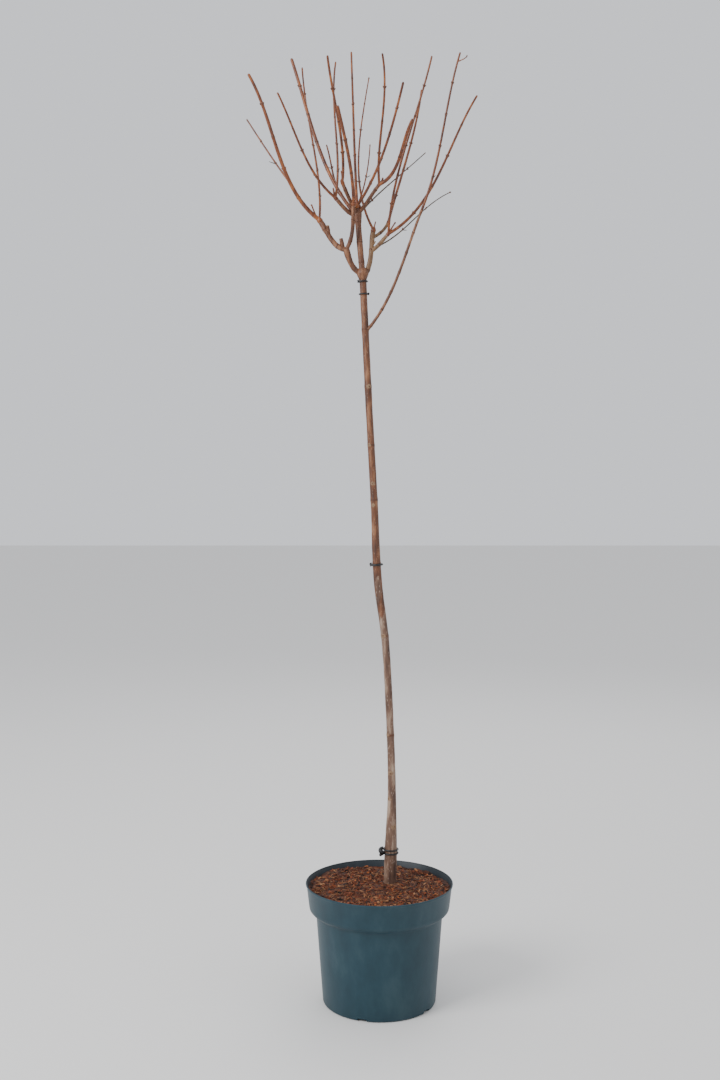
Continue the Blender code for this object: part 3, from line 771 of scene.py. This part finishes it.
def grow_shoot(foot, tip, lean, girth, dice, extra):
    """One shoot: its rod, its buds and its dead spurs, with the places of its nodes."""
    length = (Vector(tip) - Vector(foot)).length
    count = max(1, round(length / INTERNODE))
    fine = max(SHOOT_LEAST_STEPS, round(length / count / SHOOT_SPACING))
    points = sweep(foot, tip, lean, count * fine)
    radii = []
    for step in range(len(points)):
        radius = (girth[0] + (girth[1] - girth[0]) * step / (len(points) - 1)) / 2
        from_node = (step + fine / 2) % fine - fine / 2
        off = abs(from_node) * length / len(points)
        if fine / 2 <= step <= len(points) - fine / 2:
            swell = SHOOT_NODE_SWELL * bump(off, SHOOT_NODE_LENGTH)
            radius *= 1.0 + swell - SHOOT_WAIST * bump(off - SHOOT_WAIST_AT, SHOOT_WAIST_AT)
        radii.append(radius)
    radii[-1] *= TIP_WIDTH
    rod = tube("rod", points, radii, SHOOT_ROUNDNESS)
    buds = []
    spurs = []
    nodes = []
    turn = dice.uniform(0.0, math.pi)
    for stage in range(1, count):
        step = stage * fine
        axis = (points[step + 1] - points[step - 1]).normalized()
        side = axis.cross(Vector((0, 1, 0))).normalized()
        turn += math.pi / 2 + dice.uniform(-PAIR_SLACK, PAIR_SLACK)
        size = BUD_LENGTH * dice.uniform(*BUD_SIZES)
        nodes.append(points[step])
        for half in (0.0, math.pi):
            outward = Matrix.Rotation(turn + half, 3, axis) @ side
            place = points[step] + outward * radii[step] * BUD_SINK
            if stage == 1 and extra.random() < DEAD_CHANCE:
                spurs.append(dead_spur(place, axis, outward, extra.uniform(*DEAD_LENGTHS)))
            else:
                buds.append(bud(place, axis, outward, size))
    end = (points[-1] - points[-2]).normalized()
    side = end.cross(Vector((0, 1, 0))).normalized()
    for half in (0.0, math.pi):
        outward = Matrix.Rotation(turn + math.pi / 2 + half, 3, end) @ side
        place = points[-1] - end * END_BUD_SINK
        buds.append(bud(place, end, outward, BUD_LENGTH * END_BUD_SIZE))
    return rod, buds, spurs, nodes, points


print("internode", INTERNODE)

# %% [markdown]
# Growing the masses. Each mass is one piece, as each is one node of the frame: its rods are
# joined, with a knuckle below them where the mass stands on the tip of a bough, and its nodes
# are painted dark. The buds and the dead spurs of all masses are kept aside and made as two
# pieces at the end.

# %% Grow every mass
BUD_SEED = 11
SPUR_SEED = 77
THIN = 0.0031
SHOOT_RIDGE = 0.00008
SHOOT_GRAIN = 420
RING_REACH = 0.0034
RING_HALF = 0.0012
KNUCKLE_LENGTH = 0.0090
KNUCKLE_WIDTHS = (1.0, 1.08, 1.12, 1.08, 1.0, 0.86, 0.62)
KNUCKLE_ROUNDNESS = 5
KNUCKLE_SWELL_SHARE = 0.6
ROOT_SHARE = 0.5
BUD_ROUNDNESS = 1
all_buds = []
all_spurs = []


def grow_mass(name, foot, shoots, base):
    """All the rods of a mass as one piece, with dark rings at its nodes."""
    dice = random.Random(BUD_SEED + len(name))
    extra = random.Random(SPUR_SEED + len(name))
    rods = list(base)
    rings = []
    lines = []

    def add_shoot(start, tip, lean, girth):
        """Grow one shoot and keep its parts."""
        rod, buds, spurs, nodes, points = grow_shoot(start, tip, lean, girth, dice, extra)
        rods.append(rod)
        rings.extend(nodes)
        lines.append(points)
        all_buds.extend(buds)
        all_spurs.extend(spurs)

    for tip, lean, girth in shoots:
        add_shoot(foot, tip, lean, girth)
    for mass, bearer, share, tip, lean, girth in SIDE_SHOOTS:
        if mass == name:
            line = lines[bearer]
            add_shoot(line[round(share * (len(line) - 1))], tip, lean, girth)
    piece = join(name + "_bark", rods)
    roughen(piece, SHOOT_RIDGE, SHOOT_GRAIN)

    def shoot_tone(place):
        """Dark bark in a narrow ring at each node."""
        for ring in rings:
            if (place - ring).length < RING_REACH and abs(place.z - ring.z) < RING_HALF:
                return 1
        return 0

    thin = all(girth[0] < THIN for _, _, girth in shoots)
    paint(piece, (twig_finish if thin else shoot_finish, node_finish), shoot_tone)
    settle(piece, "shoot_bark", name)


for name, (bough, shoots) in TIP_MASSES.items():
    points, _ = bough_line(bough)
    along = (points[-1] - points[-2]).normalized()
    start = points[-1] + along * CLEAR
    last = len(KNUCKLE_WIDTHS) - 1
    spots = [start + along * KNUCKLE_LENGTH * step / last for step in range(last + 1)]
    _, _, _, bough_girth = BOUGHS[bough]
    radius = bough_girth[1] / 2 + KNUCKLE_SWELL.get(bough, 0.0) * KNUCKLE_SWELL_SHARE
    widths = [radius * width for width in KNUCKLE_WIDTHS]
    knuckle = tube("knuckle", spots, widths, KNUCKLE_ROUNDNESS)
    grow_mass(name, start + along * KNUCKLE_LENGTH * ROOT_SHARE, shoots, [knuckle])

for name, (bough, height, shoots) in SIDE_MASSES.items():
    points, _ = bough_line(bough)
    below = max((point for point in points if point.z <= height), key=lambda point: point.z)
    above = min((point for point in points if point.z > height), key=lambda point: point.z)
    grow_mass(name, below.lerp(above, (height - below.z) / (above.z - below.z)), shoots, [])

for name, lines, material in (
    ("buds", all_buds, bud_finish), ("dry_spurs", all_spurs, twig_finish),
):
    small_parts = bundle(name, lines, BUD_ROUNDNESS)
    paint(small_parts, (material,), all_over(0))
    settle(small_parts, "shoot_bark")

# %% [markdown]
# The pot. A thin moulded shell with a tapered body and a deep collar, which lets pots stack. It
# is drawn up from a circle, as by hand: the edge is extruded and widened step by step, and
# Solidify then gives the wall its thickness inwards, so the outside keeps its size.

# %% Pot shell
# Each step is a radius and a height, from the edge of the foot to the top of the rim.
POT_STEPS = (
    (0.0955, 0.0000),
    (0.0976, 0.0009),
    (0.0985, 0.0030),
    (0.1040, 0.0760),
    (0.1098, 0.1530),
    (0.1106, 0.1560),
    (0.1190, 0.1612),
    (0.1212, 0.1640),
    (0.1222, 0.1690),
    (0.1262, 0.2030),
    (0.1272, 0.2042),
    (0.1280, 0.2058),
    (0.1278, 0.2074),
    (0.1268, 0.2080),
)
WALL = 0.0018
FOOT_INSET = 0.004
POT_SIDES = 160

bpy.ops.object.select_all(action="DESELECT")
bpy.ops.mesh.primitive_circle_add(
    vertices=POT_SIDES, radius=POT_STEPS[0][0], fill_type="NGON", location=(0, 0, 0)
)
pot = bpy.context.object
bpy.ops.object.mode_set(mode="EDIT")
bpy.ops.mesh.select_mode(type="EDGE")
bpy.ops.mesh.select_all(action="SELECT")
bpy.ops.mesh.inset(thickness=FOOT_INSET)
bpy.ops.mesh.select_all(action="DESELECT")
bpy.ops.mesh.select_non_manifold()
for (radius, height), (wider, higher) in zip(POT_STEPS, POT_STEPS[1:]):
    bpy.ops.mesh.extrude_region_move(TRANSFORM_OT_translate={"value": (0, 0, higher - height)})
    widening = (wider / radius, wider / radius, 1)
    bpy.ops.transform.resize(value=widening, center_override=(0, 0, higher))
bpy.ops.mesh.select_all(action="SELECT")
bpy.ops.mesh.normals_make_consistent(inside=False)
bpy.ops.object.mode_set(mode="OBJECT")
wall = pot.modifiers.new("Wall", "SOLIDIFY")
wall.thickness = WALL
wall.offset = -1.0
bpy.ops.object.modifier_apply(modifier="Wall")
print("pot top", round(max(vert.co.z for vert in pot.data.vertices), 4))

# %% [markdown]
# Drainage notches. Water leaves through small gaps in the foot's edge. One block is placed at
# each and taken away with a Boolean, which is simpler than cutting the wall's own faces.

# %% Drainage notches
NOTCHES = 5
NOTCH_CIRCLE = 0.0985
NOTCH_SIZE = (0.016, 0.016, 0.009)

for index in range(NOTCHES):
    angle = math.pi + math.tau * index / NOTCHES
    place = (NOTCH_CIRCLE * math.cos(angle), NOTCH_CIRCLE * math.sin(angle), 0.0)
    bpy.ops.mesh.primitive_cube_add(
        size=1.0, location=place, rotation=(0, 0, angle), scale=NOTCH_SIZE
    )
    cutter = bpy.context.object
    notch = pot.modifiers.new("Notch", "BOOLEAN")
    notch.operation = "DIFFERENCE"
    notch.object = cutter
    bpy.context.view_layer.objects.active = pot
    bpy.ops.object.modifier_apply(modifier="Notch")
    bpy.data.objects.remove(cutter)
print("notches", NOTCHES)

# %% [markdown]
# The pot's plastic. It is dark petrol outside, with a dull shine. Inside, where it lies in its
# own shade, the same plastic is painted nearly black as painted shade. Faces that look towards
# the axis take this painted shade, apart from the lowest ones, at the foot and its notches.

# %% Pot finishes
PLASTIC_STRETCH = (1.0, 1.0, 0.5)
PLASTIC_SHINE = 0.35
LOOKS_INWARD = 0.3
INSIDE_FROM = 0.010

pot_finish = finish(
    "pot plastic", ((0.008, 0.032, 0.046), (0.011, 0.040, 0.056), (0.020, 0.052, 0.067)), 28,
    PLASTIC_STRETCH, 0.46, 0.22, 900,
)
# The inside's near-black tones are painted shade, not a darker plastic.
inside_painted_shade = finish(
    "pot inside painted shade", ((0.006, 0.012, 0.018), (0.012, 0.022, 0.030)), 60, EVEN, 0.55, 0.2, 700
)
plastic_shader = pot_finish.node_tree.nodes["Principled BSDF"]
plastic_shader.inputs["Specular IOR Level"].default_value = PLASTIC_SHINE
pot.data.materials.append(pot_finish)
pot.data.materials.append(inside_painted_shade)
# Inward faces above the foot get the painted shade; all other faces get the outside plastic.
for face in pot.data.polygons:
    middle = face.center
    outward = face.normal.x * middle.x + face.normal.y * middle.y
    inward = outward < -LOOKS_INWARD * math.hypot(*middle.xy)
    face.material_index = 1 if inward and middle.z > INSIDE_FROM else 0
pot.name = "pot_shell"
settle(pot, "pot", "pot")

# %% [markdown]
# The ground of the mix. Potting mix is coarse bark and fibre, so its top is a low mound of
# lumps and hollows. A disc is drawn in from its edge ring by ring, and noise then sets the
# height of each point. It is kept level close to the stem, so that the stem's foot stays in
# view.

# %% Ground of the mix
MIX_AT_WALL = 0.1980
MIX_AT_STEM = 0.1995
MIX_RADIUS = 0.1248
MIX_SIDES = 120
MIX_RINGS = 44
MIX_DEPTH = 0.030
MIX_TAPER = 0.965
MIX_TOP_BAND = 0.01
MOUND_REACH = 0.09
CALM_FROM = 0.012
CALM_WIDTH = 0.02
# Each layer of lumps has a grain, a slice through the noise and a height.
LUMPS = ((42, 1.3, 0.0040), (130, 4.1, 0.0022))
STEM_FOOT = stem_point(STEM[0][0])


def mix_height(x, y):
    """Height of the mix at a place: a low mound with lumps, calm close to the stem."""
    from_stem = math.hypot(x - STEM_FOOT.x, y - STEM_FOOT.y)
    near = min(1.0, from_stem / MOUND_REACH)
    lumps = sum(
        noise.noise(Vector((x * grain, y * grain, part))) * height for grain, part, height in LUMPS
    )
    calm = min(1.0, max(0.0, (from_stem - CALM_FROM) / CALM_WIDTH))
    return MIX_AT_STEM + (MIX_AT_WALL - MIX_AT_STEM) * near + lumps * calm


bpy.ops.object.select_all(action="DESELECT")
bpy.ops.mesh.primitive_circle_add(
    vertices=MIX_SIDES, radius=MIX_RADIUS, fill_type="NOTHING", location=(0, 0, MIX_AT_WALL)
)
mix = bpy.context.object
bpy.ops.object.mode_set(mode="EDIT")
bpy.ops.mesh.select_all(action="SELECT")
for ring in range(MIX_RINGS, 1, -1):
    bpy.ops.mesh.extrude_region_move()
    narrowing = ((ring - 1) / ring,) * 3
    bpy.ops.transform.resize(value=narrowing, center_override=(0, 0, MIX_AT_WALL))
bpy.ops.mesh.merge(type="CENTER")
bpy.ops.mesh.select_all(action="DESELECT")
bpy.ops.mesh.select_non_manifold()
bpy.ops.mesh.extrude_region_move(TRANSFORM_OT_translate={"value": (0, 0, -MIX_DEPTH)})
bpy.ops.transform.resize(value=(MIX_TAPER, MIX_TAPER, 1), center_override=(0, 0, MIX_AT_WALL))
bpy.ops.mesh.edge_face_add()
bpy.ops.mesh.select_all(action="SELECT")
bpy.ops.mesh.normals_make_consistent(inside=False)
bpy.ops.object.mode_set(mode="OBJECT")
bpy.ops.object.transform_apply(location=True, rotation=True, scale=True)
for vert in mix.data.vertices:
    if vert.co.z > MIX_AT_WALL - MIX_TOP_BAND:
        vert.co.z = mix_height(vert.co.x, vert.co.y)
mix_finish = finish(
    "potting mix", ((0.006, 0.003, 0.002), (0.060, 0.018, 0.008), (0.150, 0.048, 0.020)), 160,
    EVEN, 0.95, 1.0, 420,
)
paint(mix, (mix_finish,), all_over(0))
mix.name = "mix_ground"
settle(mix, "mix", "potting_mix")

# %% [markdown]
# Chips and fibres. The eye sees the mix as loose bits of bark in several browns, with thin
# fibres over them. One small rounded model is copied for each chip, stretched, turned and worn
# by seeded draws, and each copy has its own mesh.

# %% Chips
CHIPS = 1500
CHIP_EDGE = 0.004
CHIP_SIZES = (0.0010, 0.0034)
CHIP_SHAPES = ((0.8, 2.0), (0.5, 1.0), (0.3, 0.6))
CHIP_TILT = 0.6
CHIP_LIFT = 0.4
CHIP_WEAR = (0.75, 1.1)
CHIP_TONES = (
    ("dark chip", (0.020, 0.008, 0.005)),
    ("brown chip", (0.115, 0.029, 0.009)),
    ("red chip", (0.240, 0.055, 0.014)),
    ("tan chip", (0.360, 0.165, 0.070)),
    ("orange chip", (0.560, 0.150, 0.026)),
)
CHIP_SHADE = 0.6
CHIP_SHARES = (0.24, 0.62, 0.88, 0.985, 1.0)
STEM_ROOM = 0.0145
MIX_SEED = 31

chip_finishes = []
for name, tone in CHIP_TONES:
    shade = tuple(value * CHIP_SHADE for value in tone)
    chip_finishes.append(finish(name, (shade, tone), 300, EVEN, 0.9, 0.8, 900))
mix_dice = random.Random(MIX_SEED)


def mix_spot(reach):
    """A random place on the mix, clear of the stem's foot."""
    while True:
        angle = mix_dice.uniform(0.0, math.tau)
        radius = reach * math.sqrt(mix_dice.random())
        x = radius * math.cos(angle)
        y = radius * math.sin(angle)
        if math.hypot(x - STEM_FOOT.x, y - STEM_FOOT.y) > STEM_ROOM:
            return x, y


def tone_number():
    """A tone drawn by its share."""
    throw = mix_dice.random()
    return next(number for number, share in enumerate(CHIP_SHARES) if throw <= share)


bpy.ops.mesh.primitive_ico_sphere_add(subdivisions=1, radius=1.0)
chip_model = bpy.context.object
chips = []
for _ in range(CHIPS):
    x, y = mix_spot(MIX_RADIUS - CHIP_EDGE)
    size = mix_dice.uniform(*CHIP_SIZES)
    mesh = chip_model.data.copy()
    shape = Vector([size * mix_dice.uniform(*span) for span in CHIP_SHAPES])
    pitch = mix_dice.uniform(-CHIP_TILT, CHIP_TILT)
    roll = mix_dice.uniform(-CHIP_TILT, CHIP_TILT)
    heading = mix_dice.uniform(0, math.tau)
    turn = Euler((pitch, roll, heading)).to_matrix()
    place = Vector((x, y, mix_height(x, y) + shape.z * CHIP_LIFT))
    for vert in mesh.vertices:
        corner = Vector((vert.co.x * shape.x, vert.co.y * shape.y, vert.co.z * shape.z))
        vert.co = place + turn @ (corner * mix_dice.uniform(*CHIP_WEAR))
    chip = bpy.data.objects.new("chip", mesh)
    bpy.context.scene.collection.objects.link(chip)
    paint(chip, chip_finishes, all_over(tone_number()))
    chips.append(chip)
bpy.data.objects.remove(chip_model)
settle(join("mix_chips", chips), "mix")

# %% [markdown]
# Fibres. Each is a thin curling thread that arches over the mix. The threads of one tone are
# made as one bundle, because a curve becomes a mesh once for all of its lines.

# %% Fibres
FIBRES = 950
FIBRE_EDGE = 0.012
FIBRE_TONES = (1, 2, 3)
FIBRE_LENGTHS = (0.005, 0.018)
FIBRE_ARCHES = (0.0003, 0.0030)
FIBRE_CURL = 0.9
FIBRE_LIFT = 0.0004
FIBRE_RADII = (0.00022, 0.00055)
FIBRE_TAPER = (1.0, 1.0, 1.0, 1.0, 0.8, 0.4)
FIBRE_STEPS = len(FIBRE_TAPER) - 1

fibre_lines = {tone: [] for tone in FIBRE_TONES}
for _ in range(FIBRES):
    x, y = mix_spot(MIX_RADIUS - FIBRE_EDGE)
    heading = mix_dice.uniform(0.0, math.tau)
    length = mix_dice.uniform(*FIBRE_LENGTHS)
    arch = mix_dice.uniform(*FIBRE_ARCHES)
    curl = mix_dice.uniform(-FIBRE_CURL, FIBRE_CURL)
    spots = []
    for step in range(FIBRE_STEPS + 1):
        share = step / FIBRE_STEPS
        angle = heading + curl * (share - 0.5)
        px = x + math.cos(angle) * length * (share - 0.5)
        py = y + math.sin(angle) * length * (share - 0.5)
        lift = FIBRE_LIFT + arch * math.sin(math.pi * share)
        spots.append(Vector((px, py, mix_height(px, py) + lift)))
    thick = mix_dice.uniform(*FIBRE_RADII)
    widths = [thick * share for share in FIBRE_TAPER]
    fibre_lines[mix_dice.choice(FIBRE_TONES)].append((spots, widths))
fibres = []
for tone, lines in fibre_lines.items():
    fibre = bundle("fibre", lines, 0)
    paint(fibre, chip_finishes, all_over(tone))
    fibres.append(fibre)
settle(join("mix_fibres", fibres), "mix")

# %% [markdown]
# The ties. Thin black plastic ties hold on the stem, as they do on any young standard. Each is
# a torus set square to the stem and just clear of it, with a small knot made from a twisted
# tube. The lowest tie has two strands.

# %% Ties
# Each tie has a height, a thickness, its strands and the space between them, and the heading,
# the width and the height of its knot.
TIES = {
    "lower_tie": (0.2560, 0.0028, 2, 0.0064, 195, 0.0115, 0.0190),
    "middle_tie": (0.7600, 0.0036, 1, 0.0, 170, 0.0050, 0.0075),
    "upper_tie": (1.2230, 0.0024, 1, 0.0, 350, 0.0040, 0.0050),
    "top_tie": (1.2440, 0.0024, 1, 0.0, 200, 0.0040, 0.0060),
}
UP = Vector((0, 0, 1))
STEM_REACH = 0.005
RING_STEPS = 72
STRAND_SIDES = 12
KNOT_STEPS = 14
KNOT_TURNS = 1.6
KNOT_RISE = 0.8
KNOT_SWING = 0.15
KNOT_THICKNESS = 0.33
KNOT_TAPER = 0.5
KNOT_ROUNDNESS = 3
tie_finish = finish(
    "tie plastic", ((0.005, 0.005, 0.006), (0.014, 0.014, 0.015)), 300, EVEN, 0.42, 0.3, 900
)

for name, (height, thickness, strands, apart, heading, knot_width, knot_height) in TIES.items():
    centre = stem_point(height)
    along = (stem_point(height + STEM_REACH) - stem_point(height - STEM_REACH)).normalized()
    turn = along.to_track_quat("Z", "Y").to_matrix().to_4x4()
    ring = stem_radius(height) + CLEAR + thickness / 2
    pieces = []
    for strand in range(strands):
        bpy.ops.mesh.primitive_torus_add(
            major_radius=ring, minor_radius=thickness / 2,
            major_segments=RING_STEPS, minor_segments=STRAND_SIDES,
        )
        loop = bpy.context.object
        shift = along * apart * (strand - (strands - 1) / 2)
        loop.data.transform(Matrix.Translation(centre + shift) @ turn)
        pieces.append(loop)
    outward = Vector((math.cos(math.radians(heading)), math.sin(math.radians(heading)), 0.0))
    sideways = outward.cross(UP)
    middle = centre + outward * (ring - thickness / 2 + CLEAR + knot_width / 2)
    spots = []
    widths = []
    for step in range(KNOT_STEPS + 1):
        angle = math.tau * KNOT_TURNS * step / KNOT_STEPS
        spots.append(
            middle
            + UP * knot_height * (step / KNOT_STEPS - 0.5) * KNOT_RISE
            + outward * math.cos(angle) * knot_width * KNOT_SWING
            + sideways * math.sin(angle) * knot_width * KNOT_SWING
        )
        taper = KNOT_TAPER * abs(2 * step / KNOT_STEPS - 1.0) ** 3
        widths.append(knot_width * KNOT_THICKNESS * (1.0 - taper))
    pieces.append(tube("twist", spots, widths, KNOT_ROUNDNESS))
    tie = join(name + "_strands", pieces)
    paint(tie, (tie_finish,), all_over(0))
    settle(tie, "tie", name)
